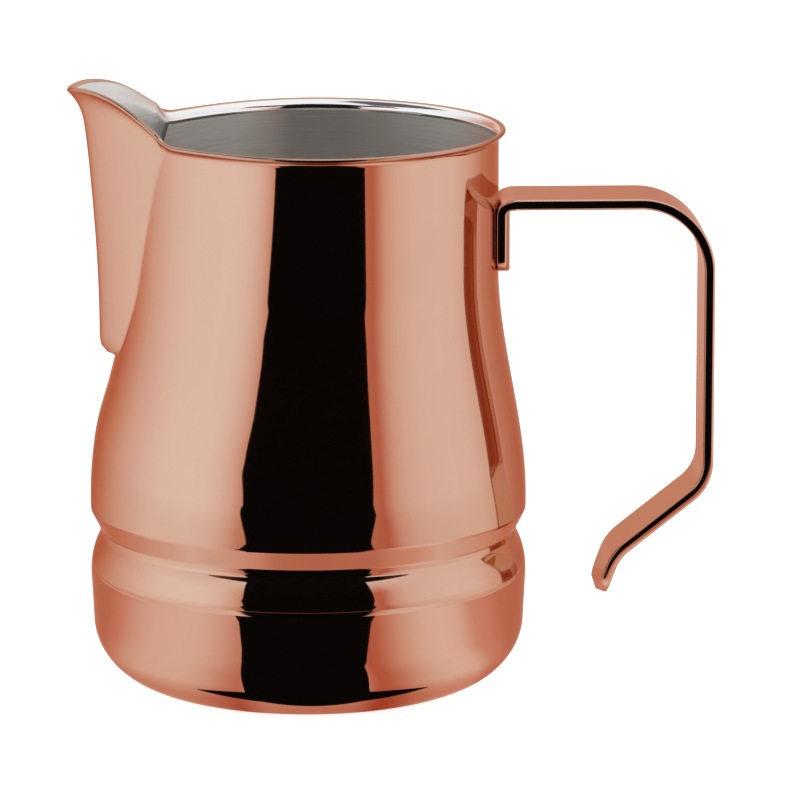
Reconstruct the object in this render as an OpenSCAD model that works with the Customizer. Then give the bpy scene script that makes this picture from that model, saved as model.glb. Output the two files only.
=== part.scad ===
// Frothing pitcher: drawn steel vessel, welded V spout and bent flat-bar handle.
// Millimetres. +Z is up. The origin is the centre of the flat base, on the plane it rests on.
// The spout points to -X, the handle to +X, and the XZ plane is the plane of symmetry.

/* [Vessel] */
// Largest outside radius of the belly
belly_r = 45; // [38:0.5:52]
// Outside radius of the upright neck
neck_r = 39.2; // [34:0.2:44]
// Radius of the flat that the pitcher stands on
base_flat_r = 28.7; // [22:0.1:36]
// Height of the rounded corner between base and side
corner_h = 14; // [8:0.5:20]
// How far the side leans in from the belly radius at the top of that corner
corner_taper = 0.5; // [0:0.1:2]
// Height where the belly starts to narrow
belly_z = 39.5; // [38:0.5:50]
// Height where the neck becomes upright
neck_z = 87; // [76:0.5:98]
// Height of the top of the rim
rim_z = 115.8; // [100:0.2:130]
// Thickness of the sheet
sheet_t = 0.9; // [0.6:0.1:1.5]
// How far the neck is drawn in beside the spout, at the rim
neck_draw = 4.0; // [0:0.1:5]

/* [Groove] */
// Depth of the groove rolled around the side
groove_d = 1.95; // [0.5:0.05:3]
// Height where the groove starts, from below, and the side begins to lean in
groove_low = 23.5; // [20:0.1:30]
// Height of the lower end of the groove floor
groove_floor_low = 31.8; // [28:0.1:33]
// Height of the upper end of the groove floor
groove_floor_high = 32.6; // [32:0.1:36]
// Height where the groove ends
groove_high = 37.3; // [36:0.1:41]

/* [Rim] */
// Radius of the outward curl, on its outer face
curl_r = 1.4; // [0.8:0.1:2.5]
// Angle the curl turns through
curl_a = 76; // [30:2:90]

/* [Spout] */
// Distance of the spout's ridge from the axis, at its foot
ridge_x = 42.8; // [41:0.1:46]
// Extra distance of the ridge at rim height
ridge_lean = 2.8; // [0:0.1:6]
// Height where the ridge starts, above its rounded foot
ridge_z = 73.2; // [70:0.5:90]
// Height of the rounded foot below that
foot_h = 4.0; // [2:0.1:8]
// Depth of that foot
foot_d = 3.2; // [1:0.1:5]
// Opening of the trough: larger is blunter
trough_k = 2.08; // [1.6:0.05:2.6]
// Radius that softens the ridge
ridge_soft = 1.5; // [0.5:0.1:4]
// Rise of the spout's lip above the rim
lip_rise = 9.1; // [4:0.05:14]
// Distance of the spout's tip from the axis
tip_x = 49.2; // [46:0.1:56]
// Distance from the axis, towards the spout, where the rim starts to rise
rise_x = 27; // [24:0.1:29]
// Drop of the very tip below the highest part of the lip
tip_drop = 0.9; // [0:0.1:2]
// Outward flare of the lip at the tip
tip_flare = 2.45; // [0.5:0.05:4]
// Outward flare of the lip where it meets the rim
root_flare = 1.6; // [0.5:0.05:2]
// Half width of the weld bead in the crease
bead_w = 0.4; // [0.3:0.05:1]

/* [Handle] */
// Width of the flat bar
bar_w = 18; // [12:0.5:24]
// Thickness of the flat bar
bar_t = 2.2; // [1.5:0.1:4]
// Radius along the bar's long edges
bar_edge = 0.45; // [0.2:0.05:1]
// Height of the lower end of the welded tab
tab_z = 86.8; // [80:0.2:95]
// Height of the top face of the handle
bar_top_z = 101.9; // [96:0.2:110]
// Distance of the outer face of the grip from the axis
grip_x = 83.2; // [75:0.2:95]
// Radius of the bend above the tab, to the middle of the bar
tab_bend = 2.2; // [1.5:0.1:5]
// Radius of the bend above the grip, to the middle of the bar
top_bend = 14.2; // [8:0.1:20]
// Height where the grip starts to bend in
grip_low_z = 46.9; // [40:0.2:60]
// Radius of the bend below the grip, to the middle of the bar
low_bend = 9.3; // [5:0.1:15]
// Angle of that bend
low_angle = 51.5; // [30:0.5:70]
// Length of the slanted run
slant_len = 17; // [10:0.2:30]
// Radius of the last, reversed bend
tip_bend = 10; // [4:0.1:14]
// Angle of the last bend
tip_angle = 31.5; // [10:0.5:45]
// Length of the straight tip, before its rounded corners
tip_len = 2.5; // [0.2:0.1:5]
// Radius of the corners at both ends of the bar
end_r = 3; // [1:0.1:6]
// Thickness of the weld between tab and neck
weld_t = 0.1; // [0.05:0.05:0.4]

/* [Resolution] */
// Columns around the vessel
cols = 64; // [48:4:84]
// Stations along each side of the spout's crease
crease_n = 14; // [8:1:18]
// Rows up the spout
spout_rows = 12; // [6:1:16]

/* [Hidden] */
draw_from = 50;
join_x = 31.2;
corner_n = 6;
belly_n = 6;
curl_n = 4;
across_n = 8;
curl_z = rim_z - (curl_r + sheet_t) * sin(curl_a) - 0.02;
crease_top = curl_z;
eps = 0.01;

copper = [0.80, 0.53, 0.43];
steel = [0.75, 0.75, 0.75];

// ---------- small helpers ----------
function clamp01(x) = min(1, max(0, x));
function smooth(x) = let (t = clamp01(x)) t * t * (3 - 2 * t);
// Straight ramp from 0 to 1 with rounded ends, each taking share e of it
function eased(t, e) =
    t < e ? t * t / (2 * e * (1 - e))
    : t > 1 - e ? 1 - (1 - t) * (1 - t) / (2 * e * (1 - e))
    : (t - e / 2) / (1 - e);
// Rise from 0 to 1 that grows steeper all the way and rounds off over the last share e
function deepening(t, e) =
    let (k = 1 - e, a = pow(k, 2.2) / 2.2, b = pow(k, 1.2))
    (t < k ? pow(t, 2.2) / 2.2 : a + b * (e / 2 - (1 - t) * (1 - t) / (2 * e))) / (a + b * e / 2);
function unit(v) = v / norm(v);
function flatten(l) = [for (a = l) for (b = a) b];
function rev(l) = [for (i = [len(l) - 1:-1:0]) l[i]];

// ---------- shape of the vessel wall ----------
function side_r(z) =
    belly_r - (belly_r - neck_r) * smooth((z - belly_z) / (neck_z - belly_z))
    - groove_d
        * deepening(clamp01((z - groove_low) / (groove_floor_low - groove_low)), 0.08)
        * eased(clamp01((groove_high - z) / (groove_high - groove_floor_high)), 0.18)
    - corner_taper * (1 - clamp01((z - corner_h) / (groove_low - corner_h)));

// Inward draw of the neck at height z, and its weight at angle a from the spout
function draw(z) =
    neck_draw * (1 - pow(1 - clamp01((z - draw_from) / (rim_z - draw_from)), 1.3))
    * smooth((z - draw_from) / 14);
function fold(a) = a > 180 ? 360 - a : abs(a);
function draw_w(a) = smooth((100 - fold(a)) / 58);
// Height of the lip above the level rim, at distance x from the axis
function lip_curve(x) =
    let (q = clamp01((tip_x + x) / (tip_x - rise_x)))
    lip_rise * (1 + cos(180 * pow(q, 1.6))) / 2;
// The rim and the top of the spout rise together as they near each other
function lifted(p) =
    [p[0], p[1], p[2] + lip_curve(max(p[0], -join_x)) * smooth((p[2] - 98) / 15)];

// A ring is [outer radius, height, outward normal in radius and height, flare weight]
function side_ring(z) =
    let (s = (side_r(z + eps) - side_r(z - eps)) / (2 * eps), n = unit([1, -s]))
    [side_r(z), z, n[0], n[1]];
function corner_ring(t) =
    let (a = side_r(corner_h) - base_flat_r, n = unit([sin(t) / a, -cos(t) / corner_h]))
    [base_flat_r + a * sin(t), corner_h * (1 - cos(t)), n[0], n[1]];
function curl_ring(t) =
    [neck_r + curl_r * (1 - cos(t)), curl_z + curl_r * sin(t), cos(t), -sin(t)];
function inner_of(g) = [g[0] - sheet_t * g[2], g[1] - sheet_t * g[3], g[2], g[3]];
function edge_ring(g, a) =
    let (r = g[0] - sheet_t / 2 * g[2], z = g[1] - sheet_t / 2 * g[3])
    [r + sheet_t / 2 * (cos(a) * g[2] - sin(a) * g[3]),
        z + sheet_t / 2 * (cos(a) * g[3] + sin(a) * g[2]), 0, 0];

// The flare is a little stronger beside the spout
function vessel_point(g, a) =
    let (
        z = g[1],
        out = z > neck_z ? max(0, g[0] - neck_r) : 0,
        r = g[0] - draw(z) * draw_w(a) + 0.5 * out * smooth((60 - fold(a)) / 28)
    )
    lifted([-r * cos(a), r * sin(a), z]);

// ---------- shape of the spout ----------
function ridge(z) = z < ridge_z
    ? ridge_x - foot_d * (1 - pow(1 - pow(clamp01((ridge_z - z) / foot_h), 2.5), 0.4))
    : ridge_x + ridge_lean * pow((z - ridge_z) / (rim_z - ridge_z), 2);
function trough(w) =
    pow(sqrt(w * w + ridge_soft * ridge_soft) / trough_k, 1.25) - pow(ridge_soft / trough_k, 1.25);
// Distance from the axis plane to the neck wall, at half width w
function neck_x(w, z) = sqrt(max(0, pow(side_r(z) - draw(z), 2) - w * w));
function proud(w, z) = ridge(z) - trough(w) - neck_x(w, z);
function solve_z(w, lo, hi, n) = n == 0 ? (lo + hi) / 2
    : let (m = (lo + hi) / 2) proud(w, m) > 0 ? solve_z(w, lo, m, n - 1) : solve_z(w, m, hi, n - 1);
function solve_w(z, lo, hi, n) = n == 0 ? (lo + hi) / 2
    : let (m = (lo + hi) / 2) proud(m, z) > 0 ? solve_w(z, m, hi, n - 1) : solve_w(z, lo, m, n - 1);

root_w = solve_w(crease_top, 5, 35, 30);

// Crease between neck and trough: [half width, height] at station k
function crease(k) =
    let (w = root_w * sin(90 * k / crease_n))
    k >= crease_n ? [root_w, crease_top] : [w, solve_z(w, ridge_z - foot_h, crease_top, 30)];
function crease_dir(k) =
    let (a = crease(max(0, k - 0.2)), b = crease(min(crease_n, k + 0.2)), d = b - a)
    k == 0 ? [1, 0] : k >= crease_n ? [0, 1] : unit(d);
function wall_edge(k) = let (c = crease(k), d = crease_dir(k)) c + bead_w * [d[1], -d[0]];
function spout_edge(k) = let (c = crease(k), d = crease_dir(k)) c - bead_w * [d[1], -d[0]];

function lip_z(w) =
    let (
        b = clamp01(abs(w) / (root_w - bead_w)),
        x = -ridge_x - 1.25 * ridge_lean + trough(w) - 0.7 * flare_d(w)
    )
    rim_z - 0.42 - 0.48 * b * b + max(0, lip_curve(x) - lip_curve(-join_x))
        - tip_drop * pow(max(0, 1 - b / 0.35), 2);
function flare_h(w) = 8 + (rim_z - crease_top - 8) * pow(clamp01(abs(w) / root_w), 0.7);
function flare_d(w) = tip_flare + (root_flare - tip_flare) * clamp01(abs(w) / root_w);
function plan_normal(w) =
    let (s = (trough(w + eps) - trough(w - eps)) / (2 * eps)) unit([-1, s]);
function spout_base(w, z) =
    let (
        n = plan_normal(w),
        f = flare_d(w) * pow(clamp01(1 - (lip_z(w) - z) / flare_h(w)), 3)
    )
    [-ridge(z) + trough(w) + f * n[0], w + f * n[1], z];
function spout_face(w, z) = lifted(spout_base(w, z));
function spout_normal(w, z) =
    unit(cross(
        spout_face(w, z + eps) - spout_face(w, z - eps),
        spout_face(w + eps, z) - spout_face(w - eps, z)));
function spout_up(w, z) = unit(spout_face(w, z + eps) - spout_face(w, z - eps));

// Column j of the spout, from -crease_n to crease_n: outer rows up, rounded edge, inner rows down
function spout_wz(j, i) =
    let (
        e = spout_edge(abs(j)),
        w = (j < 0 ? -1 : 1) * e[0],
        top = lip_z(w),
        t = i / spout_rows
    )
    [w, e[1] + (top - e[1]) * (1 - pow(1 - t, 1.5))];
function spout_outer(j, i) = let (p = spout_wz(j, i)) spout_face(p[0], p[1]);
function spout_inner(j, i) =
    let (p = spout_wz(j, i)) spout_face(p[0], p[1]) - sheet_t * spout_normal(p[0], p[1]);
function spout_lip(j, a) =
    let (
        p = spout_wz(j, spout_rows),
        n = spout_normal(p[0], p[1]),
        u = spout_up(p[0], p[1])
    )
    spout_face(p[0], p[1]) - sheet_t / 2 * n + sheet_t / 2 * (cos(a) * n + sin(a) * u);
function spout_column(j) = concat(
    [for (i = [0:spout_rows]) spout_outer(j, i)],
    [for (a = [45, 90, 135]) spout_lip(j, a)],
    [for (i = [spout_rows:-1:0]) spout_inner(j, i)]);

// ---------- rings of the vessel, from the base up the outside ----------
low_rings = concat(
    [for (i = [0:corner_n]) corner_ring(90 * i / corner_n)],
    [side_ring((corner_h + groove_low) / 2)],
    [for (i = [0:5]) side_ring(groove_low + (groove_floor_low - groove_low) * i / 6)],
    [for (i = [0:8]) side_ring(groove_floor_low + (groove_high - groove_floor_low) * i / 8)],
    [for (i = [1:belly_n]) side_ring(groove_high + (wall_edge(0)[1] - 1 - groove_high) * i / belly_n)]);
notch_rings = [for (k = [0:crease_n]) side_ring(wall_edge(k)[1])];
notch_w = [for (k = [0:crease_n]) wall_edge(k)[0]];
curl_rings = [for (i = [1:curl_n]) curl_ring(curl_a * i / curl_n)];

out_rings = concat(low_rings, notch_rings, curl_rings);
n_out = len(out_rings);
n_low = len(low_rings);
edge_rings = [for (a = [45, 90, 135]) edge_ring(out_rings[n_out - 1], a)];
all_rings = concat(out_rings, edge_rings, [for (g = rev(out_rings)) inner_of(g)]);
n_all = len(all_rings);

// Level of a ring counted from the base, the same for its inner and outer copies
function level(i) = i < n_out ? i : i >= n_all - n_out ? n_all - 1 - i : n_out - 1;
function open_w(i) =
    let (k = level(i) - n_low) k <= 0 ? 0 : notch_w[min(k, crease_n)];
function open_angle(i) =
    let (k = level(i) - n_low)
    k <= 0 ? 0 : let (g = notch_rings[min(k, crease_n)]) asin(open_w(i) / (g[0] - draw(g[1])));
function is_open(i) = level(i) > n_low;
function vid(i, j) = i * (cols + 1) + (is_open(i) ? j : j % cols);
function ring_points(i) =
    let (a0 = open_angle(i))
    [for (j = [0:cols]) vessel_point(all_rings[i], a0 + (360 - 2 * a0) * j / cols)];
// Point on the cut edge of the wall beside the spout, side s = 1 or -1
function cut_point(i, s) = vessel_point(all_rings[i], s * open_angle(i));

// Two triangles for a four-sided patch
function quad(a, b, c, d) = [[a, b, c], [a, c, d]];

module vessel_body() {
    pts = flatten([for (i = [0:n_all - 1]) ring_points(i)]);
    wall = flatten([for (i = [0:n_all - 2]) for (j = [0:cols - 1])
        quad(vid(i, j), vid(i + 1, j), vid(i + 1, j + 1), vid(i, j + 1))]);
    base = [[for (j = [0:cols - 1]) vid(0, j)]];
    floor = [[for (j = [cols - 1:-1:0]) vid(n_all - 1, j)]];
    cut_a = flatten([for (i = [n_low:n_out - 1])
        i == n_out - 1 ? [] : quad(vid(i, 0), vid(n_all - 1 - i, 0),
            vid(n_all - 2 - i, 0), vid(i + 1, 0))]);
    cut_b = flatten([for (i = [n_low:n_out - 1])
        i == n_out - 1 ? [] : quad(vid(i, cols), vid(i + 1, cols),
            vid(n_all - 2 - i, cols), vid(n_all - 1 - i, cols))]);
    lip_a = [[vid(n_out - 1, 0), vid(n_out + 3, 0), vid(n_out + 2, 0), vid(n_out + 1, 0), vid(n_out, 0)]];
    lip_b = [[vid(n_out - 1, cols), vid(n_out, cols), vid(n_out + 1, cols),
        vid(n_out + 2, cols), vid(n_out + 3, cols)]];
    color(copper)
        polyhedron(points = pts, faces = concat(wall, base, floor, cut_a, cut_b, lip_a, lip_b), convexity = 8);
}

module spout() {
    n = 2 * crease_n + 1;
    m = 2 * (spout_rows + 1) + 3;
    pts = flatten([for (j = [-crease_n:crease_n]) spout_column(j)]);
    skin = flatten([for (c = [0:n - 2]) for (r = [0:m - 2])
        quad(c * m + r, c * m + r + 1, (c + 1) * m + r + 1, (c + 1) * m + r)]);
    low = flatten([for (c = [0:n - 2]) quad(c * m, (c + 1) * m, (c + 1) * m + m - 1, c * m + m - 1)]);
    side_a = flatten([for (r = [0:spout_rows - 1]) quad(r, m - 1 - r, m - 2 - r, r + 1)]);
    b = (n - 1) * m;
    side_b = flatten([for (r = [0:spout_rows - 1])
        quad(b + r, b + r + 1, b + m - 2 - r, b + m - 1 - r)]);
    q = spout_rows;
    lip_a = [[q, q + 4, q + 3, q + 2, q + 1]];
    lip_b = [[b + q, b + q + 1, b + q + 2, b + q + 3, b + q + 4]];
    color(copper)
        polyhedron(points = pts, faces = concat(skin, low, side_a, side_b, lip_a, lip_b), convexity = 8);
}

// Bead section at station k: wall outside, wall inside, spout inside, spout outside
function bead(k, s) =
    let (
        i = n_low + k,
        top = k > crease_n,
        row = top ? spout_rows * (k - crease_n) / curl_n : 0,
        j = s * min(k, crease_n)
    )
    k == 0
        ? [cut_point(i, 0), cut_point(n_all - 1 - i, 0), spout_inner(0, 0), spout_outer(0, 0)]
        : [cut_point(i, s), cut_point(n_all - 1 - i, s), spout_inner(j, row), spout_outer(j, row)];

module spout_seam() {
    last = crease_n + curl_n;
    n = 2 * last + 1;
    pts = flatten([for (k = [-last:last]) bead(abs(k), k < 0 ? -1 : 1)]);
    skin = flatten([for (c = [0:n - 2]) for (r = [0:3])
        quad(4 * c + r, 4 * c + (r + 1) % 4, 4 * c + 4 + (r + 1) % 4, 4 * c + 4 + r)]);
    e = 4 * (n - 1);
    color(steel)
        polyhedron(points = pts, faces = concat(skin, [[3, 2, 1, 0]], [[e, e + 1, e + 2, e + 3]]), convexity = 8);
}

// ---------- handle ----------
tab_x = neck_r + weld_t + bar_t / 2;
bar_mid_z = bar_top_z - bar_t / 2;
grip_mid_x = grip_x - bar_t / 2;
tab_len = bar_mid_z - tab_bend - tab_z;
turn = 180 + low_angle;
slant_from = [grip_mid_x - low_bend, grip_low_z] + low_bend * side_dir(turn);
slant_to = slant_from + slant_len * run_dir(turn);
tip_from = slant_to + tip_bend * (side_dir(turn) - side_dir(turn - tip_angle));

// Direction of travel and outer side of the bar, for a heading turned from +Z towards +X
function run_dir(a) = [sin(a), cos(a)];
function side_dir(a) = [-cos(a), sin(a)];
// Station on the bar: [x, z, heading, distance from the nearer end]
function at(p, a) = [concat(p, [a, 99])];
function along(p, a, l) = concat(at(p, a), at(p + l * run_dir(a), a));
function around(c, r, a0, a1, n, sgn) =
    [for (i = [1:n - 1]) let (a = a0 + (a1 - a0) * i / n) concat(c + sgn * r * side_dir(a), [a, 99])];
// Narrowing of the bar at its rounded ends
function end_cut(d) = d >= end_r ? 0 : end_r - sqrt(max(0, end_r * end_r - pow(end_r - d, 2)));
function end_steps(n) = [for (i = [0:n]) end_r * (1 - cos(90 * i / n))];

tab_p = [tab_x, tab_z];
stations = concat(
    [for (d = end_steps(5)) concat(tab_p + d * run_dir(0), [0, d])],
    [concat(tab_p + tab_len / 2 * run_dir(0), [0, 99])],
    at([tab_x, bar_mid_z - tab_bend], 0),
    around([tab_x + tab_bend, bar_mid_z - tab_bend], tab_bend, 0, 90, 9, 1),
    along([tab_x + tab_bend, bar_mid_z], 90, grip_mid_x - top_bend - tab_x - tab_bend),
    around([grip_mid_x - top_bend, bar_mid_z - top_bend], top_bend, 90, 180, 18, 1),
    along([grip_mid_x, bar_mid_z - top_bend], 180, bar_mid_z - top_bend - grip_low_z),
    around([grip_mid_x - low_bend, grip_low_z], low_bend, 180, turn, 10, 1),
    along(slant_from, turn, slant_len),
    around(slant_to + tip_bend * side_dir(turn), tip_bend, turn, turn - tip_angle, 7, -1),
    at(tip_from, turn - tip_angle),
    [for (d = rev(end_steps(5)))
        concat(tip_from + (tip_len + end_r - d) * run_dir(turn - tip_angle), [turn - tip_angle, d])]);

// Rounded outline of the bar, [offset to the outer side, offset across]
function bar_corner(u, v, a) =
    [for (i = [0:3]) [u + bar_edge * cos(a + 30 * i), v + bar_edge * sin(a + 30 * i)]];
function bar_outline(w) =
    let (u = bar_t / 2 - bar_edge, v = w / 2 - bar_edge)
    concat(
        bar_corner(u, v, 0),
        bar_corner(-u, v, 90),
        [for (i = [1:across_n - 1]) [-bar_t / 2, v - 2 * v * i / across_n]],
        bar_corner(-u, -v, 180),
        bar_corner(u, -v, 270),
        [for (i = [1:across_n - 1]) [bar_t / 2, -v + 2 * v * i / across_n]]);
// Beside the neck the bar is curved across its width to follow the neck
function hollow(u, y, a) =
    let (f = a > 90 ? 0 : 1 - smooth(a / 75), r = neck_r + weld_t)
    u + f * (r - sqrt(r * r - y * y));
function bar_ring(s) =
    [for (q = bar_outline(bar_w - 2 * end_cut(s[3])))
        let (h = hollow(q[0], q[1], s[2]), d = side_dir(s[2]))
        [s[0] + h * d[0], q[1], s[1] + h * d[1]]];

module handle() {
    m = len(bar_outline(bar_w));
    n = len(stations);
    pts = flatten([for (s = stations) bar_ring(s)]);
    skin = flatten([for (c = [0:n - 2]) for (r = [0:m - 1])
        quad(m * c + r, m * c + (r + 1) % m, m * c + m + (r + 1) % m, m * c + m + r)]);
    color(copper)
        polyhedron(points = pts, faces = concat(
            skin,
            [[for (r = [m - 1:-1:0]) r]],
            [[for (r = [0:m - 1]) m * (n - 1) + r]]), convexity = 8);
}

module handle_weld() {
    color(steel)
        intersection() {
            difference() {
                cylinder(r = neck_r + weld_t, h = rim_z, $fn = 180);
                translate([0, 0, -1])
                    cylinder(r = neck_r + 0.01, h = rim_z + 2, $fn = 180);
            }
            translate([neck_r - 4, -bar_w / 2 + 2.5, tab_z + end_r])
                cube([8, bar_w - 5, tab_len - end_r - 1]);
        }
}

vessel_body();
spout();
spout_seam();
handle();
handle_weld();
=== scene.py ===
"""Looks of a milk frothing pitcher: mirror-polished copper-coloured steel outside, brushed steel inside.
Lengths in the shape functions are millimetres in the row frame; meshes are scaled to metres when built."""

import math

import bmesh
import bpy
import numpy as np
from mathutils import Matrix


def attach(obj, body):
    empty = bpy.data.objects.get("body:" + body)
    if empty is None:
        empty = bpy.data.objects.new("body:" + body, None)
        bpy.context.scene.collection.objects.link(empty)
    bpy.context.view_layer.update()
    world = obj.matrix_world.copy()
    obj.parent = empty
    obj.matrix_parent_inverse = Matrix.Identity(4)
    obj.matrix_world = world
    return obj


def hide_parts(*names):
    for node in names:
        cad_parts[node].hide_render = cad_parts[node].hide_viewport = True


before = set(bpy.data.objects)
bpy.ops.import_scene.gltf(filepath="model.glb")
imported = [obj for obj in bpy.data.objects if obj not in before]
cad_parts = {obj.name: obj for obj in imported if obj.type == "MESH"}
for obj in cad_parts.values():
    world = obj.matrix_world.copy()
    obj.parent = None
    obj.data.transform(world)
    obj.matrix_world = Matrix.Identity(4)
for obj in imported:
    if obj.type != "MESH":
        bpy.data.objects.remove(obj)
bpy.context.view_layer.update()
MM = 0.001

# ---------- dimensions, the same as in the CAD source ----------
BELLY_R, NECK_R, BASE_R, CORNER_H, CORNER_TAPER = 45.0, 39.2, 28.7, 14.0, 0.5
BELLY_Z, NECK_Z, RIM_Z, SHEET, NECK_DRAW, DRAW_FROM = 39.5, 87.0, 115.8, 0.9, 4.0, 50.0
GROOVE_D, GROOVE_LOW, FLOOR_LOW, FLOOR_HIGH, GROOVE_HIGH = 1.95, 23.5, 31.8, 32.6, 37.3
CURL_R, CURL_A = 1.4, math.radians(76)
RIDGE_X, RIDGE_LEAN, RIDGE_Z, FOOT_H, FOOT_D = 42.8, 2.8, 73.2, 4.0, 3.2
TROUGH_K, RIDGE_SOFT, LIP_RISE, TIP_X, RISE_X, JOIN_X = 2.08, 1.5, 9.1, 49.2, 27.0, 31.2
TIP_DROP, TIP_FLARE, ROOT_FLARE, BEAD_W = 0.9, 2.45, 1.6, 0.4
BAR_W, BAR_T, TAB_Z, BAR_TOP, GRIP_X = 18.0, 2.2, 86.8, 101.9, 83.2
TAB_BEND, TOP_BEND, GRIP_LOW, LOW_BEND, LOW_ANGLE = 2.2, 14.2, 46.9, 9.3, 51.5
SLANT, TIP_BEND, TIP_ANGLE, TIP_LEN, END_R, WELD = 17.0, 10.0, 31.5, 2.5, 3.0, 0.1
CURL_Z = RIM_Z - (CURL_R + SHEET) * math.sin(CURL_A) - 0.02
EPS = 0.01

# ---------- mesh resolution, and looks that the CAD source doesn't have ----------
COLS = 168
CREASE_N = 56
# The first count is of the rows inside the lip that keep the darker copper of its rounding, which is painted
# shade; the second is of the rows of polished steel inside.
PAINTED_SHADE_ROWS, POLISHED_ROWS = 3, 16
BAR_ROUND = 0.55


def clamp01(x):
    return min(1.0, max(0.0, x))


def smooth(x):
    t = clamp01(x)
    return t * t * (3 - 2 * t)


def eased(t, e):
    """Straight ramp from 0 to 1 with rounded ends, each taking share e of it."""
    if t < e:
        return t * t / (2 * e * (1 - e))
    if t > 1 - e:
        return 1 - (1 - t) ** 2 / (2 * e * (1 - e))
    return (t - e / 2) / (1 - e)


def deepening(t, e):
    """Rise from 0 to 1 that grows steeper all the way and rounds off over the last share e."""
    k = 1 - e
    a, b = k ** 2.2 / 2.2, k ** 1.2
    return (t ** 2.2 / 2.2 if t < k else a + b * (e / 2 - (1 - t) ** 2 / (2 * e))) / (a + b * e / 2)


def np_smooth(x):
    t = np.clip(x, 0, 1)
    return t * t * (3 - 2 * t)


def unit(v):
    return v / np.linalg.norm(v)


# ---------- vessel ----------
def side_r(z):
    groove = deepening(clamp01((z - GROOVE_LOW) / (FLOOR_LOW - GROOVE_LOW)), 0.08) * eased(
        clamp01((GROOVE_HIGH - z) / (GROOVE_HIGH - FLOOR_HIGH)), 0.18)
    return (BELLY_R - (BELLY_R - NECK_R) * smooth((z - BELLY_Z) / (NECK_Z - BELLY_Z))
            - GROOVE_D * groove - CORNER_TAPER * (1 - clamp01((z - CORNER_H) / (GROOVE_LOW - CORNER_H))))


def draw(z):
    t = clamp01((z - DRAW_FROM) / (RIM_Z - DRAW_FROM))
    return NECK_DRAW * (1 - (1 - t) ** 1.3) * smooth((z - DRAW_FROM) / 14)


def lip_curve(x):
    q = np.clip((TIP_X + x) / (TIP_X - RISE_X), 0, 1)
    return LIP_RISE * (1 + np.cos(math.pi * q ** 1.6)) / 2


def lifted(p):
    p = np.asarray(p, float)
    out = p.copy()
    out[..., 2] += lip_curve(np.maximum(p[..., 0], -JOIN_X)) * np_smooth((p[..., 2] - 98) / 15)
    return out


def side_ring(z):
    s = (side_r(z + EPS) - side_r(z - EPS)) / (2 * EPS)
    n = unit(np.array([1, -s]))
    return [side_r(z), z, n[0], n[1]]


def corner_ring(t):
    a = side_r(CORNER_H) - BASE_R
    n = unit(np.array([math.sin(t) / a, -math.cos(t) / CORNER_H]))
    return [BASE_R + a * math.sin(t), CORNER_H * (1 - math.cos(t)), n[0], n[1]]


def curl_ring(t):
    return [NECK_R + CURL_R * (1 - math.cos(t)), CURL_Z + CURL_R * math.sin(t), math.cos(t), -math.sin(t)]


def inner_of(g):
    return [g[0] - SHEET * g[2], g[1] - SHEET * g[3], g[2], g[3]]


def edge_ring(g, a):
    h = SHEET / 2
    r, z = g[0] - h * g[2], g[1] - h * g[3]
    return [r + h * (math.cos(a) * g[2] - math.sin(a) * g[3]),
            z + h * (math.cos(a) * g[3] + math.sin(a) * g[2]), 0, 0]


def vessel_point(g, a):
    """Points of a ring at angles a, in radians from the spout's side."""
    a = np.asarray(a, float)
    fold = np.degrees(np.where(a > math.pi, 2 * math.pi - a, np.abs(a)))
    z = g[1]
    out = max(0.0, g[0] - NECK_R) if z > NECK_Z else 0.0
    r = g[0] - draw(z) * np_smooth((100 - fold) / 58) + 0.5 * out * np_smooth((60 - fold) / 28)
    return lifted(np.stack([-r * np.cos(a), r * np.sin(a), np.full_like(a, z)], -1))


# ---------- spout ----------
def ridge(z):
    if z < RIDGE_Z:
        return RIDGE_X - FOOT_D * (1 - (1 - clamp01((RIDGE_Z - z) / FOOT_H) ** 2.5) ** 0.4)
    return RIDGE_X + RIDGE_LEAN * ((z - RIDGE_Z) / (RIM_Z - RIDGE_Z)) ** 2


def trough(w):
    return (math.sqrt(w * w + RIDGE_SOFT ** 2) / TROUGH_K) ** 1.25 - (RIDGE_SOFT / TROUGH_K) ** 1.25


def proud(w, z):
    return ridge(z) - trough(w) - math.sqrt(max(0.0, (side_r(z) - draw(z)) ** 2 - w * w))


def solve_z(w, lo, hi):
    for _ in range(36):
        m = (lo + hi) / 2
        lo, hi = (lo, m) if proud(w, m) > 0 else (m, hi)
    return (lo + hi) / 2


def solve_w(z, lo, hi):
    for _ in range(36):
        m = (lo + hi) / 2
        lo, hi = (m, hi) if proud(m, z) > 0 else (lo, m)
    return (lo + hi) / 2


ROOT_W = solve_w(CURL_Z, 5, 35)


def crease(t):
    """Crease between neck and trough at share t of its length: half width and height."""
    if t >= 1:
        return np.array([ROOT_W, CURL_Z])
    w = ROOT_W * math.sin(math.pi / 2 * t)
    return np.array([w, solve_z(w, RIDGE_Z - FOOT_H, CURL_Z)])


def crease_dir(t):
    if t <= 0:
        return np.array([1.0, 0.0])
    if t >= 1:
        return np.array([0.0, 1.0])
    return unit(crease(min(1, t + 0.014)) - crease(max(0, t - 0.014)))


def wall_edge(t):
    d = crease_dir(t)
    return crease(t) + BEAD_W * np.array([d[1], -d[0]])


def spout_edge(t):
    d = crease_dir(t)
    return crease(t) - BEAD_W * np.array([d[1], -d[0]])


def flare_h(w):
    return 8 + (RIM_Z - CURL_Z - 8) * clamp01(abs(w) / ROOT_W) ** 0.7


def flare_d(w):
    return TIP_FLARE + (ROOT_FLARE - TIP_FLARE) * clamp01(abs(w) / ROOT_W)


def lip_z(w):
    b = clamp01(abs(w) / (ROOT_W - BEAD_W))
    x = -RIDGE_X - 1.25 * RIDGE_LEAN + trough(w) - 0.7 * flare_d(w)
    rise = float(max(0, lip_curve(x) - lip_curve(-JOIN_X)))
    return RIM_Z - 0.42 - 0.48 * b * b + rise - TIP_DROP * max(0.0, 1 - b / 0.35) ** 2


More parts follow.
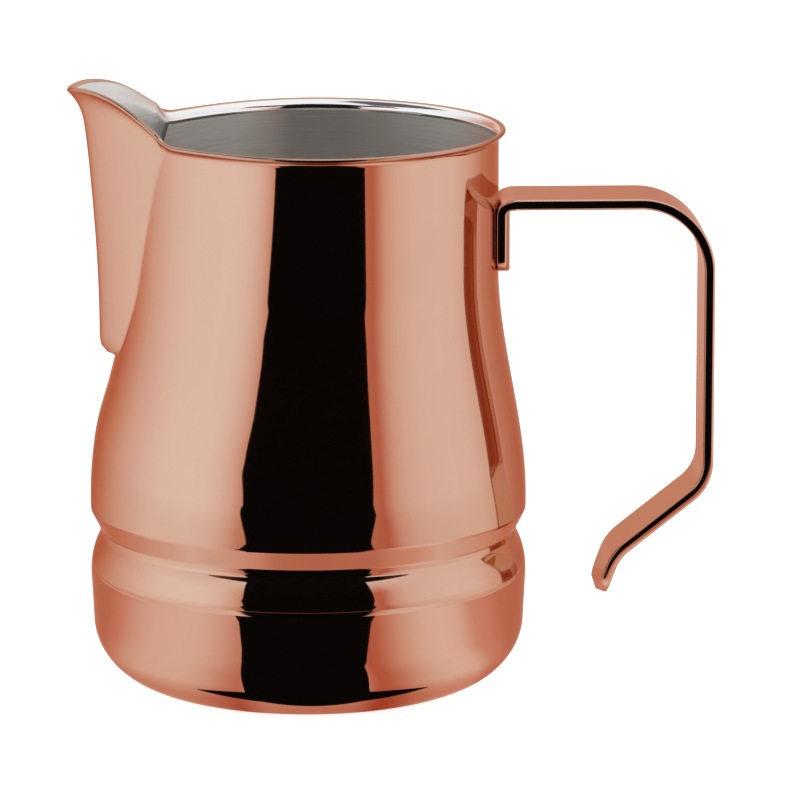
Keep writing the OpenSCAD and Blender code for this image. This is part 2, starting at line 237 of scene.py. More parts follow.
def spout_face(w, z):
    s = (trough(w + EPS) - trough(w - EPS)) / (2 * EPS)
    n = unit(np.array([-1, s]))
    f = flare_d(w) * clamp01(1 - (lip_z(w) - z) / flare_h(w)) ** 3
    return lifted([-ridge(z) + trough(w) + f * n[0], w + f * n[1], z])


def spout_up(w, z):
    return unit(spout_face(w, z + EPS) - spout_face(w, z - EPS))


def spout_normal(w, z):
    return unit(np.cross(spout_face(w, z + EPS) - spout_face(w, z - EPS),
                         spout_face(w + EPS, z) - spout_face(w - EPS, z)))


def spout_wz(t, s, row):
    e = spout_edge(t)
    w = s * e[0]
    return w, e[1] + (lip_z(w) - e[1]) * (1 - (1 - row) ** 1.5)


# ---------- mesh making ----------
def grid_quads(a, b):
    """Quads between two rows of vertex numbers of the same length."""
    return [(a[i], a[i + 1], b[i + 1], b[i]) for i in range(len(a) - 1)]


def make_piece(name, points, faces, face_mat, mats, node, sharp=42):
    mesh = bpy.data.meshes.new(name)
    mesh.from_pydata([tuple(p) for p in np.asarray(points) * MM], [], faces)
    for m in mats:
        mesh.materials.append(m)
    mesh.polygons.foreach_set("material_index", face_mat)
    bm = bmesh.new()
    bm.from_mesh(mesh)
    bmesh.ops.delete(bm, geom=[v for v in bm.verts if not v.link_faces], context="VERTS")
    bmesh.ops.recalc_face_normals(bm, faces=bm.faces)
    bm.to_mesh(mesh)
    bm.free()
    mesh.shade_smooth()
    mesh.set_sharp_from_angle(angle=math.radians(sharp))
    obj = bpy.data.objects.new(name, mesh)
    bpy.context.scene.collection.objects.link(obj)
    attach(obj, "root")
    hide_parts(node)
    return obj


def build_vessel(mats):
    start = wall_edge(0)[1]
    low = [corner_ring(math.pi / 2 * i / 20) for i in range(21)]
    low += [side_ring(CORNER_H + (GROOVE_LOW - CORNER_H) * i / 8) for i in range(1, 9)]
    low += [side_ring(GROOVE_LOW + (GROOVE_HIGH - GROOVE_LOW) * i / 64) for i in range(1, 65)]
    low += [side_ring(GROOVE_HIGH + (start - 0.4 - GROOVE_HIGH) * i / 28) for i in range(1, 29)]
    edges = [wall_edge(k / CREASE_N) for k in range(CREASE_N + 1)]
    notch = [side_ring(e[1]) for e in edges]
    curl = [curl_ring(CURL_A * i / 14) for i in range(1, 15)]
    outer = low + notch + curl
    lip = [edge_ring(outer[-1], math.pi * i / 10) for i in range(1, 10)]
    inner = [inner_of(g) for g in reversed(outer)]
    rings = outer + lip + inner
    n_out, n_all = len(outer), len(rings)

    def open_angle(i):
        """Half angle of the spout's notch at ring i. An inner ring has that of its outer ring."""
        if i < n_out:
            level = i
        elif i < n_out + len(lip):
            level = n_out - 1
        else:
            level = n_all - 1 - i
        k = min(level - len(low), CREASE_N)
        if k <= 0:
            return 0.0
        return math.asin(edges[k][0] / (notch[k][0] - draw(notch[k][1])))

    points, rows = [], []
    for i, g in enumerate(rings):
        a0 = open_angle(i)
        a = a0 + (2 * math.pi - 2 * a0) * np.arange(COLS + 1) / COLS
        p = vessel_point(g, a)
        first = len(points)
        if a0 > 0:
            points.extend(p)
            rows.append(list(range(first, first + COLS + 1)))
        else:
            points.extend(p[:-1])
            rows.append(list(range(first, first + COLS)) + [first])
    faces, mat = [], []
    painted_shade_end = n_out + len(lip) + PAINTED_SHADE_ROWS
    polished_end = n_out + len(lip) + POLISHED_ROWS
    for i in range(n_all - 1):
        # Kind 3, the darker copper over the lip and just inside it, is painted shade.
        kind = 0 if i < n_out else 3 if i < painted_shade_end else 1 if i < polished_end else 2
        quads = grid_quads(rows[i], rows[i + 1])
        faces += quads
        mat += [kind] * len(quads)
    # flat base and inside floor, as fans of rings towards the middle
    for ring, z, kind in ((rows[0], 0.0, 0), (rows[-1], SHEET, 2)):
        r0 = rings[0][0]
        last = ring
        for share in (0.86, 0.66, 0.42, 0.18):
            first = len(points)
            r = r0 * share
            a = 2 * math.pi * np.arange(COLS) / COLS
            points.extend(np.stack([-r * np.cos(a), r * np.sin(a), np.full(COLS, z)], -1))
            new = list(range(first, first + COLS)) + [first]
            quads = grid_quads(last, new)
            faces += quads
            mat += [kind] * len(quads)
            last = new
        centre = len(points)
        points.append(np.array([0, 0, z]))
        faces += [(last[i], last[i + 1], centre) for i in range(COLS)]
        mat += [kind] * COLS
    # cut edges of the sheet beside the spout
    for col in (0, COLS):
        for i in range(len(low), n_out - 1):
            m = n_all - 1 - i
            faces.append((rows[i][col], rows[i + 1][col], rows[m - 1][col], rows[m][col]))
            mat.append(0)
        faces.append([rows[i][col] for i in range(n_out - 1, n_out + len(lip) + 1)])
        mat.append(0)
    return make_piece("vessel", points, faces, mat, mats, "vessel_body")


def build_spout(mats):
    n_row, n_lip = 56, 8
    steps = [k / CREASE_N for k in range(-CREASE_N, CREASE_N + 1)]
    points, cols = [], []
    for t in steps:
        s = -1 if t < 0 else 1
        wz = [spout_wz(abs(t), s, i / n_row) for i in range(n_row + 1)]
        face = [spout_face(*q) for q in wz]
        normal = [spout_normal(*q) for q in wz]
        up = spout_up(*wz[-1])
        mid = face[-1] - SHEET / 2 * normal[-1]
        col = list(face)
        col += [mid + SHEET / 2 * (math.cos(a) * normal[-1] + math.sin(a) * up)
                for a in [math.pi * i / (n_lip + 1) for i in range(1, n_lip + 1)]]
        col += [f - SHEET * n for f, n in zip(reversed(face), reversed(normal))]
        first = len(points)
        points.extend(col)
        cols.append(list(range(first, first + len(col))))
    faces, mat = [], []
    m = len(cols[0])
    painted_shade_end = n_row + n_lip + PAINTED_SHADE_ROWS + 1
    for a, b in zip(cols, cols[1:]):
        quads = grid_quads(a, b)
        faces += quads
        # Kind 2, the darker copper over the lip and just inside it, is painted shade.
        mat += [0 if i <= n_row else 2 if i < painted_shade_end else 1 for i in range(len(quads))]
        faces.append((a[0], b[0], b[m - 1], a[m - 1]))
        mat.append(0)
    for c in (cols[0], cols[-1]):
        for r in range(n_row):
            faces.append((c[r], c[r + 1], c[m - 2 - r], c[m - 1 - r]))
            mat.append(0)
        faces.append([c[r] for r in range(n_row, n_row + n_lip + 2)])
        mat.append(0)
    return make_piece("spout_shell", points, faces, mat, mats, "spout")


def build_seam(mats):
    """Weld fillet that fills the crease outside and rounds it inside, from rim to rim over the foot."""
    across, n_top, n_end = 6, 14, 7

    def wall(g, t):
        e, q = wall_edge(min(1, t)), side_ring(wall_edge(min(1, t))[1])
        a0 = math.asin(e[0] / (q[0] - draw(q[1]))) if t > 0 else 0.0
        return vessel_point(g, np.array([a0]))[0]

    def bezier(a, b, c):
        shares = [i / across for i in range(across + 1)]
        return [(1 - u) ** 2 * a + 2 * u * (1 - u) * b + u * u * c for u in shares]

    half_out, half_in = [], []
    for k in range(CREASE_N + n_top + 1):
        t = min(1.0, k / CREASE_N)
        top = max(0.0, (k - CREASE_N) / n_top)
        g = curl_ring(CURL_A * top) if top > 0 else side_ring(wall_edge(t)[1])
        a_out, a_in = wall(g, t), wall(inner_of(g), t)
        q = spout_wz(t, 1, top)
        n = spout_normal(*q)
        c_out = spout_face(*q)
        c_in = c_out - SHEET * n
        cr = crease(t)
        r = side_r(cr[1]) - draw(cr[1])
        on_crease = lifted([-math.sqrt(max(0.0, r * r - cr[0] ** 2)), cr[0], cr[1]])
        if top == 0:
            lean = on_crease - (a_out + c_out) / 2
            lean_top = lean
        else:
            lean = lean_top * (1 - top)
        half_out.append(bezier(a_out, (a_out + c_out) / 2 + lean, c_out))
        half_in.append(bezier(a_in, (a_in + c_in) / 2 + lean, c_in))
    mirror = np.array([1, -1, 1])
    out = [[p * mirror for p in row] for row in reversed(half_out[1:])] + half_out
    inn = [[p * mirror for p in row] for row in reversed(half_in[1:])] + half_in
    points, rows_out, rows_in = [], [], []
    for src, dst in ((out, rows_out), (inn, rows_in)):
        for row in src:
            dst.append(list(range(len(points), len(points) + across + 1)))
            points.extend(row)
    faces, mat = [], []
    for rows, kind in ((rows_out, 0), (rows_in, 1)):
        for a, b in zip(rows, rows[1:]):
            quads = grid_quads(a, b)
            faces += quads
            mat += [kind] * len(quads)
    for col in (0, across):
        for a, b, c, d in zip(rows_out, rows_out[1:], rows_in[1:], rows_in):
            faces.append((a[col], b[col], c[col], d[col]))
            mat.append(0)
    # rounded over the lip at both ends; up is the lip's rise beside the spout's root
    up = lifted([-31.0, 22.0, 116.0]) - lifted([-31.0, 22.0, 114.0])
    for end in (0, -1):
        last = rows_out[end]
        for i in range(1, n_end + 1):
            a = math.pi * i / (n_end + 1)
            new = []
            for j in range(across + 1):
                po, pi = points[rows_out[end][j]], points[rows_in[end][j]]
                mid, h = (po + pi) / 2, (po - pi) / 2
                rise = unit(np.cross(np.cross(h, unit(up)), h)) * np.linalg.norm(h)
                new.append(len(points))
                points.append(mid + math.cos(a) * h + math.sin(a) * rise)
            quads = grid_quads(last, new)
            faces += quads
            # The rounding takes kind 2, the darker copper, which is painted shade.
            mat += [2] * len(quads)
            last = new
        quads = grid_quads(last, rows_in[end])
        faces += quads
        mat += [1] * len(quads)
        base = len(points) - n_end * (across + 1)
        for col in (0, across):
            faces.append([rows_out[end][col]] + [base + i * (across + 1) + col for i in range(n_end)]
                         + [rows_in[end][col]])
            mat.append(0)
    return make_piece("seam_fillet", points, faces, mat, mats, "spout_seam")


# ---------- handle ----------
def run_dir(a):
    return np.array([math.sin(math.radians(a)), math.cos(math.radians(a))])


def side_dir(a):
    return np.array([-math.cos(math.radians(a)), math.sin(math.radians(a))])


FAR = 99.0


def end_cut(d):
    """How much narrower the bar is on each side, at distance d from its end."""
    return 0.0 if d >= END_R else END_R - math.sqrt(max(0.0, END_R ** 2 - (END_R - d) ** 2))


def build_handle(mats):
    tab_x = NECK_R + WELD + BAR_T / 2
    mid_z = BAR_TOP - BAR_T / 2
    grip = GRIP_X - BAR_T / 2
    tab_len = mid_z - TAB_BEND - TAB_Z
    turn = 180 + LOW_ANGLE
    slant_from = np.array([grip - LOW_BEND, GRIP_LOW]) + LOW_BEND * side_dir(turn)
    slant_to = slant_from + SLANT * run_dir(turn)
    last_turn = turn - TIP_ANGLE
    tip_from = slant_to + TIP_BEND * (side_dir(turn) - side_dir(last_turn))
    ends = [END_R * (1 - math.cos(math.pi / 2 * i / 12)) for i in range(13)]
    tab = np.array([tab_x, TAB_Z])

    def line(p, a, length, n):
        p = np.asarray(p, float)
        return [(p + length * i / n * run_dir(a), a, FAR) for i in range(n + 1)]

    def arc(c, r, a0, a1, n, sign):
        c = np.asarray(c, float)
        angles = [a0 + (a1 - a0) * i / n for i in range(1, n)]
        return [(c + sign * r * side_dir(a), a, FAR) for a in angles]

    path = [(tab + d * run_dir(0), 0.0, d) for d in ends]
    path += line(tab + (END_R + 0.4) * run_dir(0), 0, tab_len - END_R - 0.4, 4)
    path += arc([tab_x + TAB_BEND, mid_z - TAB_BEND], TAB_BEND, 0, 90, 24, 1)
    path += line([tab_x + TAB_BEND, mid_z], 90, grip - TOP_BEND - tab_x - TAB_BEND, 8)
    path += arc([grip - TOP_BEND, mid_z - TOP_BEND], TOP_BEND, 90, 180, 44, 1)
    path += line([grip, mid_z - TOP_BEND], 180, mid_z - TOP_BEND - GRIP_LOW, 8)
    path += arc([grip - LOW_BEND, GRIP_LOW], LOW_BEND, 180, turn, 30, 1)
    path += line(slant_from, turn, SLANT, 6)
    path += arc(slant_to + TIP_BEND * side_dir(turn), TIP_BEND, turn, last_turn, 24, -1)
    path += line(tip_from, last_turn, TIP_LEN - 0.3, 2)
    path += [(tip_from + (TIP_LEN + END_R - d) * run_dir(last_turn), last_turn, d) for d in reversed(ends)]

    n_arc, n_wide = 7, 22
    points, rows = [], []
    for p, a, d in path:
        w = BAR_W - 2 * end_cut(d)
        u, v = BAR_T / 2 - BAR_ROUND, w / 2 - BAR_ROUND
        ring = []
        for sx, sy, a0 in ((1, 1, 0), (-1, 1, 90), (-1, -1, 180), (1, -1, 270)):
            corner = [math.radians(a0 + 90 * i / n_arc) for i in range(n_arc + 1)]
            ring += [(sx * u + BAR_ROUND * math.cos(b), sy * v + BAR_ROUND * math.sin(b)) for b in corner]
            if sx * sy < 0 and sx < 0:
                ring += [(-BAR_T / 2, v - 2 * v * i / n_wide) for i in range(1, n_wide)]
            if sx > 0 and sy < 0:
                ring += [(BAR_T / 2, -v + 2 * v * i / n_wide) for i in range(1, n_wide)]
        f = 0.0 if a > 90 else 1 - smooth(a / 75)
        r = NECK_R + WELD
        first = len(points)
        for x, y in ring:
            h = x + f * (r - math.sqrt(r * r - y * y))
            q = p + h * side_dir(a)
            points.append(np.array([q[0], y, q[1]]))
        rows.append(list(range(first, first + len(ring))) + [first])
    faces = []
    for a, b in zip(rows, rows[1:]):
        faces += grid_quads(a, b)
    for row in (rows[0], rows[-1]):
        centre = len(points)
        points.append(np.mean([points[i] for i in row[:-1]], axis=0))
        faces += [(row[i], row[i + 1], centre) for i in range(len(row) - 1)]
    return make_piece("handle_bar", points, faces, [0] * len(faces), mats, "handle", 60)


# ---------- materials ----------
def srgb(*c):
    return [((x / 255 + 0.055) / 1.055) ** 2.4 if x > 10 else x / 255 / 12.92 for x in c]


COPPER = (0.70, 0.43, 0.32)


def new_material(name):
    mat = bpy.data.materials.new(name)
    mat.use_nodes = True
    nt = mat.node_tree
    nt.nodes.clear()
    out = nt.nodes.new("ShaderNodeOutputMaterial")
    bsdf = nt.nodes.new("ShaderNodeBsdfPrincipled")
    nt.links.new(bsdf.outputs["BSDF"], out.inputs["Surface"])
    bsdf.inputs["Metallic"].default_value = 1.0
    return mat, nt, bsdf


def noise(nt, stretch, scale, detail=2.0, rough=0.5):
    coord = nt.nodes.new("ShaderNodeTexCoord")
    mapping = nt.nodes.new("ShaderNodeMapping")
    mapping.inputs["Scale"].default_value = stretch
    tex = nt.nodes.new("ShaderNodeTexNoise")
    tex.inputs["Scale"].default_value = scale
    tex.inputs["Detail"].default_value = detail
    tex.inputs["Roughness"].default_value = rough
    nt.links.new(coord.outputs["Object"], mapping.inputs["Vector"])
    nt.links.new(mapping.outputs["Vector"], tex.inputs["Vector"])
    return tex.outputs["Fac"]


def spread(nt, value, low, high, to_low, to_high):
    node = nt.nodes.new("ShaderNodeMapRange")
    for name, x in (("From Min", low), ("From Max", high), ("To Min", to_low), ("To Max", to_high)):
        node.inputs[name].default_value = x
    nt.links.new(value, node.inputs["Value"])
    return node.outputs["Result"]


def two_tone(nt, value, a, b):
    ramp = nt.nodes.new("ShaderNodeValToRGB")
    ramp.color_ramp.elements[0].position = 0.3
    ramp.color_ramp.elements[1].position = 0.7
    ramp.color_ramp.elements[0].color = (*a, 1)
    ramp.color_ramp.elements[1].color = (*b, 1)
    nt.links.new(value, ramp.inputs["Fac"])
    return ramp.outputs["Color"]


def bump(nt, bsdf, height, strength, distance):
    node = nt.nodes.new("ShaderNodeBump")
    node.inputs["Strength"].default_value = strength
    node.inputs["Distance"].default_value = distance
    nt.links.new(height, node.inputs["Height"])
    nt.links.new(node.outputs["Normal"], bsdf.inputs["Normal"])


# Polished copper. A shade below 1 makes a darker copy of it, which is painted shade.
def polished_copper(name, shade=1.0):
    mat, nt, bsdf = new_material(name)
    broad = noise(nt, (1, 1, 1), 45, 3)
    tone = two_tone(nt, broad, [c * 0.985 * shade for c in COPPER], [c * 1.015 * shade for c in COPPER])
    nt.links.new(tone, bsdf.inputs["Base Color"])
    bsdf.inputs["Specular Tint"].default_value = (0.86, 0.66, 0.56, 1)
    hair = noise(nt, (1, 1, 9), 260, 4, 0.6)
    nt.links.new(spread(nt, hair, 0.3, 0.7, 0.028, 0.052), bsdf.inputs["Roughness"])
    bump(nt, bsdf, broad, 0.012, 0.0004)
    return mat


def polished_steel():
    mat, nt, bsdf = new_material("polished_steel")
    broad = noise(nt, (1, 1, 1), 60, 3)
    tone = two_tone(nt, broad, (0.88, 0.88, 0.885), (0.93, 0.93, 0.93))
    nt.links.new(tone, bsdf.inputs["Base Color"])
    hair = noise(nt, (1, 1, 12), 300, 4, 0.6)
    nt.links.new(spread(nt, hair, 0.3, 0.7, 0.07, 0.13), bsdf.inputs["Roughness"])
    return mat


def satin_steel():
    mat, nt, bsdf = new_material("satin_steel")
    line = noise(nt, (7, 7, 150), 14, 5, 0.65)
    broad = noise(nt, (1, 1, 1), 55, 3)
    tone = two_tone(nt, broad, (0.60, 0.60, 0.585), (0.72, 0.72, 0.705))
    nt.links.new(tone, bsdf.inputs["Base Color"])
    nt.links.new(spread(nt, line, 0.3, 0.7, 0.18, 0.28), bsdf.inputs["Roughness"])
    bump(nt, bsdf, line, 0.05, 0.0002)
    return mat


def brushed_steel():
    mat, nt, bsdf = new_material("brushed_steel")
    line = noise(nt, (5, 5, 240), 12, 6, 0.7)
    tone = two_tone(nt, line, (0.66, 0.63, 0.59), (0.88, 0.85, 0.80))
    nt.links.new(tone, bsdf.inputs["Base Color"])
    nt.links.new(spread(nt, line, 0.3, 0.7, 0.46, 0.56), bsdf.inputs["Roughness"])
    bump(nt, bsdf, line, 0.12, 0.0002)
    around = nt.nodes.new("ShaderNodeTangent")
    around.direction_type = "RADIAL"
    around.axis = "Z"
    nt.links.new(around.outputs["Tangent"], bsdf.inputs["Tangent"])
    bsdf.inputs["Anisotropic"].default_value = 1.0
    bsdf.inputs["Anisotropic Rotation"].default_value = 0.25
    return mat


def weld_metal():
    mat, nt, bsdf = new_material("weld_copper")
    grain = noise(nt, (1, 1, 1), 700, 3)
    tone = two_tone(nt, grain, [c * 0.9 for c in COPPER], COPPER)
    nt.links.new(tone, bsdf.inputs["Base Color"])
    nt.links.new(spread(nt, grain, 0.3, 0.7, 0.10, 0.2), bsdf.inputs["Roughness"])
    return mat


copper = polished_copper("polished_copper")
# Darker copy of the copper for the lip's rounded edges: painted shade, standing in for the dark surroundings
# they reflect.
copper_painted_shade = polished_copper("copper_painted_shade", 0.78)
silver, satin, brushed, weld = polished_steel(), satin_steel(), brushed_steel(), weld_metal()

build_vessel([copper, silver, brushed, copper_painted_shade])
build_spout([copper, satin, copper_painted_shade])
build_seam([copper, satin, copper_painted_shade])
build_handle([copper])
weld_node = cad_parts["handle_weld"]
weld_node.data.materials.clear()
weld_node.data.materials.append(weld)

# ---------- studio: a ring of soft cards around the object, seen only in reflections ----------
# Sizes are in metres. The cards on the floor lie just under the table, in this order from below.
STUDIO_R, STUDIO_H, NEAR_R, RING_N = 1.5, 1.25, 0.14, 96
FLOOR_CARD_Z, NEAR_CARD_Z, RUNNER_Z, CRESCENT_Z = -0.0015, -0.001, -0.0005, -0.0004
CRESCENT_AZ, FLAG_Y = 40, -0.8
COLLAR_T = 0.03  # millimetres between the two faces of the collar
# Light that the cards give, by azimuth: 0 is in front, 90 on the handle's side, -90 on the spout's side.
AROUND = [
    (-180, (199, 138, 112)), (-169, (196, 130, 104)), (-160, (181, 99, 71)), (-150, (181, 97, 68)),
    (-142, (188, 110, 83)), (-130, (196, 130, 104)), (-118, (204, 150, 126)), (-104, (211, 164, 143)),
    (-94, (216, 175, 153)), (-83, (218, 182, 160)), (-65, (220, 184, 164)), (-55, (218, 181, 160)),
    (-48, (215, 172, 152)), (-41, (207, 154, 130)), (-35, (192, 122, 96)), (-28, (184, 108, 83)),
    (0, (177, 98, 72)), (30, (180, 100, 73)), (37, (178, 88, 62)), (44, (202, 141, 116)),
    (52, (209, 161, 138)), (62, (213, 169, 146)), (80, (215, 173, 151)), (95, (214, 170, 148)),
    (112, (204, 148, 124)), (126, (190, 118, 92)), (142, (182, 104, 77)), (158, (186, 110, 84)),
    (180, (199, 138, 112)),
]
# The same for the floor close to the object, by its own azimuth.
NEAR = [
    (-180, (180, 105, 78)), (-110, (185, 108, 82)), (-97, (198, 122, 98)), (-84, (203, 147, 124)),
    (-72, (210, 160, 137)), (-60, (211, 163, 141)), (-50, (210, 164, 140)), (-43, (207, 155, 131)),
    (-37, (202, 142, 118)), (-31, (193, 121, 96)), (-25, (182, 102, 76)), (-16, (205, 150, 126)),
    (14, (200, 140, 115)), (22, (176, 82, 57)), (26, (178, 86, 60)), (31.5, (188, 111, 85)),
    (37.5, (201, 137, 110)), (43.6, (206, 155, 128)), (50, (212, 165, 142)), (58, (214, 168, 145)),
    (66, (213, 163, 140)), (71, (206, 150, 125)), (77, (199, 129, 103)), (87, (196, 120, 96)),
    (100, (185, 108, 82)), (180, (180, 105, 78)),
]
# The same for the dark band high up in front.
BROW = [
    (-180, (170, 85, 58)), (-66, (165, 82, 56)), (-52, (80, 32, 22)), (-40, (12, 7, 6)), (40, (12, 7, 6)),
    (52, (80, 32, 22)), (66, (165, 82, 56)), (180, (170, 85, 58)),
]
# The same for the narrow collar in front of the groove, by its own azimuth: top, then underside.
COLLAR = [
    (-180, (188, 110, 84)), (-95, (188, 110, 84)), (-70, (198, 132, 106)), (-43, (208, 161, 137)),
    (-33, (201, 150, 125)), (-25, (200, 138, 112)), (-20, (198, 130, 102)), (-16, (190, 117, 92)),
    (-12, (180, 103, 77)), (0, (176, 98, 72)), (21, (179, 101, 75)), (26, (190, 116, 89)),
    (31, (197, 126, 98)), (36, (203, 133, 105)), (46, (207, 158, 133)), (70, (200, 138, 112)),
    (95, (188, 110, 84)), (180, (188, 110, 84)),
]
UNDER = [
    (-180, (186, 108, 82)), (-90, (188, 112, 86)), (-60, (203, 148, 123)), (-40, (213, 168, 145)),
    (-22, (212, 165, 142)), (-20.4, (195, 128, 102)), (-20, (6, 5, 5)), (16.4, (6, 5, 5)),
    (17, (185, 112, 86)), (22, (208, 155, 130)), (32, (214, 170, 148)), (50, (206, 153, 129)),
    (65, (200, 145, 120)), (90, (188, 112, 86)), (180, (186, 108, 82)),
]


def light_of(target):
    return [t / c for t, c in zip(srgb(*target), COPPER)]


def math_node(nt, op, a, b=None):
    node = nt.nodes.new("ShaderNodeMath")
    node.operation = op
    for i, x in enumerate((a, b)):
        if x is None:
            continue
        if isinstance(x, (int, float)):
            node.inputs[i].default_value = x
        else:
            nt.links.new(x, node.inputs[i])
    return node.outputs[0]


def emission_material(name, stops=None, flat=(1, 1, 1), strength=1.0, near=None, whiter=None):
    """Emission that goes round the Z axis through stops, by distance from the axis through near,
    and turns to plain white between the two heights of whiter."""
    mat = bpy.data.materials.new(name)
    mat.use_nodes = True
    nt = mat.node_tree
    nt.nodes.clear()
    out = nt.nodes.new("ShaderNodeOutputMaterial")
    emit = nt.nodes.new("ShaderNodeEmission")
    emit.inputs["Strength"].default_value = strength
    emit.inputs["Color"].default_value = (*flat, 1)
    nt.links.new(emit.outputs[0], out.inputs["Surface"])
    if stops is None:
        return mat
    coord = nt.nodes.new("ShaderNodeTexCoord")
    sep = nt.nodes.new("ShaderNodeSeparateXYZ")
    nt.links.new(coord.outputs["Object"], sep.inputs[0])
    x, y = sep.outputs[0], sep.outputs[1]
    turn = math_node(nt, "ARCTAN2", x, math_node(nt, "MULTIPLY", y, -1.0))
    share = math_node(nt, "ADD", math_node(nt, "DIVIDE", turn, 2 * math.pi), 0.5)
    color = color_ramp(nt, share, [((a + 180) / 360, light_of(c)) for a, c in stops])
    if near is not None:
        squares = math_node(nt, "ADD", math_node(nt, "MULTIPLY", x, x), math_node(nt, "MULTIPLY", y, y))
        fade = color_ramp(nt, math_node(nt, "SQRT", squares), near)
        mix = nt.nodes.new("ShaderNodeMix")
        mix.data_type = "RGBA"
        mix.blend_type = "MULTIPLY"
        mix.inputs["Factor"].default_value = 1.0
        nt.links.new(color, mix.inputs[6])
        nt.links.new(fade, mix.inputs[7])
        color = mix.outputs[2]
    if whiter is not None:
        mix = nt.nodes.new("ShaderNodeMix")
        mix.data_type = "RGBA"
        nt.links.new(spread(nt, sep.outputs[2], *whiter, 0.0, 1.0), mix.inputs["Factor"])
        nt.links.new(color, mix.inputs[6])
        mix.inputs[7].default_value = (0.92, 0.92, 0.92, 1)
        color = mix.outputs[2]
    nt.links.new(color, emit.inputs["Color"])
    return mat


def color_ramp(nt, value, stops):
    ramp = nt.nodes.new("ShaderNodeValToRGB")
    el = ramp.color_ramp.elements
    while len(el) > 1:
        el.remove(el[-1])
    el[0].position = stops[0][0]
    el[0].color = (*stops[0][1], 1)
    for pos, c in stops[1:]:
        e = el.new(pos)
        e.color = (*c, 1)
    nt.links.new(value, ramp.inputs["Fac"])
    return ramp.outputs["Color"]


def stage_mesh(name, verts, faces, material):
    mesh = bpy.data.meshes.new(name)
    mesh.from_pydata(verts, [], faces)
    mesh.materials.append(material)
    obj = bpy.data.objects.new(name, mesh)
    bpy.context.scene.collection.objects.link(obj)
    return obj


def reflection_only(obj):
    obj.visible_camera = False
    obj.visible_shadow = False
    obj.visible_diffuse = False


def polar(r, turn, z):
    """Point at azimuth turn in radians, counted from the front towards the handle."""
    return (r * math.sin(turn), -r * math.cos(turn), z)


def ring_points(r, z):
    return [polar(r, 2 * math.pi * i / RING_N, z) for i in range(RING_N)]


def disc_card(name, r, z, material):
    return stage_mesh(name, ring_points(r, z), [tuple(range(RING_N))], material)


def strip_card(name, first, second, material):
    """Card between two rows of points of the same length."""
    n = len(first)
    faces = [(i, i + 1, n + i + 1, n + i) for i in range(n - 1)]
    return stage_mesh(name, first + second, faces, material)


def turns_between(low, high, steps):
    return [math.radians(low + (high - low) * i / steps) for i in range(steps + 1)]


def arc_card(name, turns, edges, material):
    """Card between two arcs around the object, each edge given by its radius and height."""
    first, second = [[polar(r, t, z) for t in turns] for r, z in edges]
    return strip_card(name, first, second, material)


def build_floor():
    """The floor that the camera sees. It is left out of reflections, where the cards take its place."""
    mat = bpy.data.materials.new("pale_floor")
    mat.use_nodes = True
    bsdf = mat.node_tree.nodes["Principled BSDF"]
    bsdf.inputs["Base Color"].default_value = (0.4, 0.4, 0.4, 1)
    bsdf.inputs["Roughness"].default_value = 0.9
    bsdf.inputs["Emission Color"].default_value = (1, 1, 1, 1)
    bsdf.inputs["Emission Strength"].default_value = 0.9
    s = 6.0
    floor = stage_mesh("floor", [(-s, -s, 0), (s, -s, 0), (s, s, 0), (-s, s, 0)], [(0, 1, 2, 3)], mat)
    floor.visible_glossy = False


def light_cards():
    """Wall and roof around the object, and the lit floor under it: one disc and a smaller one on top."""
    n = RING_N
    sides = [(i, (i + 1) % n, n + (i + 1) % n, n + i) for i in range(n)]
    wall = stage_mesh("card_ring", ring_points(STUDIO_R, -0.002) + ring_points(STUDIO_R, STUDIO_H), sides,
                      emission_material("ring_light", AROUND, whiter=(0.45, 0.9)))
    roof = disc_card("card_roof", STUDIO_R, STUDIO_H, emission_material("roof_light", strength=0.97))
    # Both floor cards grow darker towards the middle: painted shadow of the object on the floor, as the
    # floor is seen in reflections.
    wide = disc_card("card_floor", STUDIO_R, FLOOR_CARD_Z, emission_material(
        "floor_light", AROUND,
        near=[(0.0, (0.92, 0.84, 0.79)), (0.14, (0.94, 0.87, 0.83)), (0.6, (1, 1, 1))]))
    close = disc_card("card_near", NEAR_R, NEAR_CARD_Z, emission_material(
        "near_light", NEAR,
        near=[(0.0, (0.80, 0.50, 0.42)), (0.040, (0.86, 0.60, 0.53)), (0.047, (1, 1, 1))]))
    return [wall, roof, wide, close]


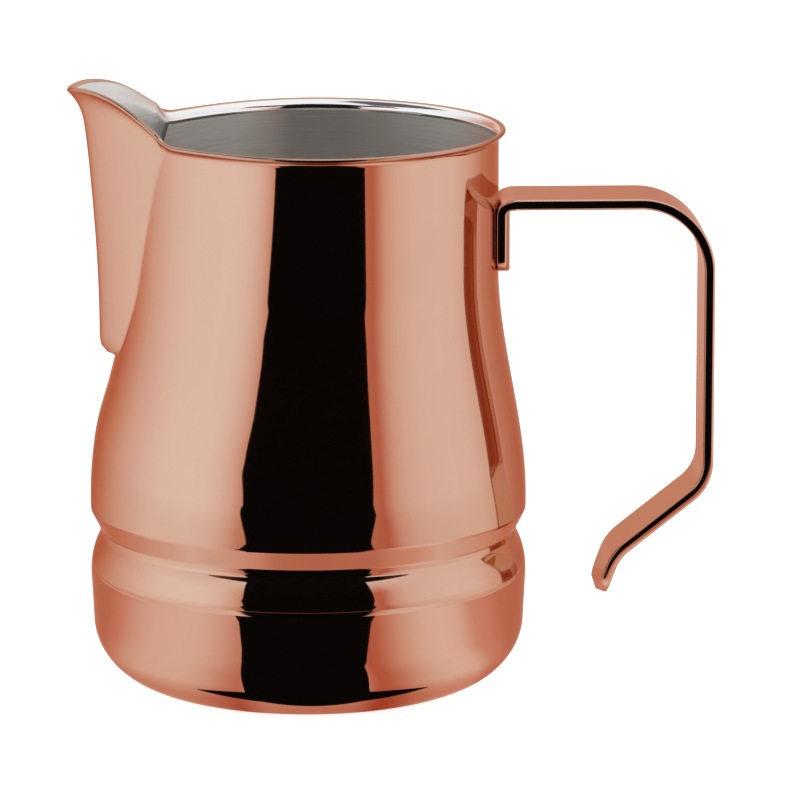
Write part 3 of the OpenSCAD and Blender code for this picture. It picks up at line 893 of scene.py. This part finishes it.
def dark_cards():
    """What the front reflects as black: a strip on the floor, a crescent at the foot, a flag behind it."""
    black = emission_material("black_card", flat=(0.004, 0.004, 0.004))
    left = [(-15, -38), (-19, -44), (-44, -80), (-54.5, -91), (-85, -118), (-110, -183), (-330, -454),
            (-478, -663), (-560, -800)]
    right = [(13, -38), (14.5, -44), (25.5, -71), (33, -82), (43, -95), (69, -124), (100, -188), (262, -412),
             (495, -800)]
    rows = [[(x * MM, y * MM, RUNNER_Z) for x, y in side] for side in (left, right)]
    runner = strip_card("card_runner", *rows, black)

    turns = turns_between(-CRESCENT_AZ, CRESCENT_AZ, 32)
    inner, outer = [], []
    for t in turns:
        taper = (math.degrees(t) / CRESCENT_AZ) ** 2
        inner.append(polar((39 + 3.5 * taper) * MM, t, CRESCENT_Z))
        outer.append(polar((44.5 - 1.7 * taper) * MM, t, CRESCENT_Z))
    crescent = strip_card("card_foot", inner, outer, black)

    left = [(-0.56, RUNNER_Z), (-0.565, 0.05), (-0.585, 0.12), (-0.57, 0.2), (-0.62, 0.85), (-0.62, 1.0)]
    right = [(0.47, 1.0), (0.47, 0.85), (0.505, 0.2), (0.505, 0.1), (0.495, RUNNER_Z)]
    outline = [(x, FLAG_Y, z) for x, z in left + right]
    flag = stage_mesh("card_flag", outline, [tuple(range(len(outline)))], black)
    return [runner, crescent, flag]


def shading_cards():
    """A dark band high up in front, and a grey card overhead that keeps the spout's half darker inside."""
    brow = arc_card("card_brow", turns_between(-66, 66, 40), [(0.9, 0.575), (0.9, 0.86)],
                    emission_material("brow_light", BROW))
    overhead = arc_card("card_shade", turns_between(-125, -50, 15), [(0.25, 1.2), (1.25, 1.2)],
                        emission_material("shade_light", flat=(0.12, 0.12, 0.12)))
    return [brow, overhead]


def collar_cards():
    """A narrow collar in the sight of the groove. The groove's upper side reflects its top, and the lower
    side reflects its underside, so the two faces are separate cards."""
    turns = turns_between(-120, 120, 80)
    cards = []
    for name, drop, stops in (("card_collar", 0.0, COLLAR), ("card_under", COLLAR_T, UNDER)):
        edges = [(r * MM, (z - drop) * MM) for r, z in ((46.4, 24.4), (61, 19.1))]
        cards.append(arc_card(name, turns, edges, emission_material(name, stops)))
    return cards


def build_studio():
    build_floor()
    for card in light_cards() + dark_cards() + shading_cards() + collar_cards():
        reflection_only(card)

    world = bpy.data.worlds.new("studio")
    world.use_nodes = True
    world.node_tree.nodes["Background"].inputs["Color"].default_value = (1, 1, 1, 1)
    world.node_tree.nodes["Background"].inputs["Strength"].default_value = 1.0
    bpy.context.scene.world = world


build_studio()

# ---------- camera, at the photograph's viewing angle ----------
cam_data = bpy.data.cameras.new("camera")
cam_data.sensor_width = 36.0
cam_data.lens = 272.94
cam_data.clip_start = 0.05
cam_data.clip_end = 50
camera = bpy.data.objects.new("camera", cam_data)
camera.location = (-0.03235, -1.22472, 0.31224)
camera.rotation_euler = (math.radians(78.315), 0, math.radians(-2.4))
scene = bpy.context.scene
scene.collection.objects.link(camera)
scene.camera = camera
scene.view_settings.view_transform = "Standard"
scene.view_settings.look = "None"
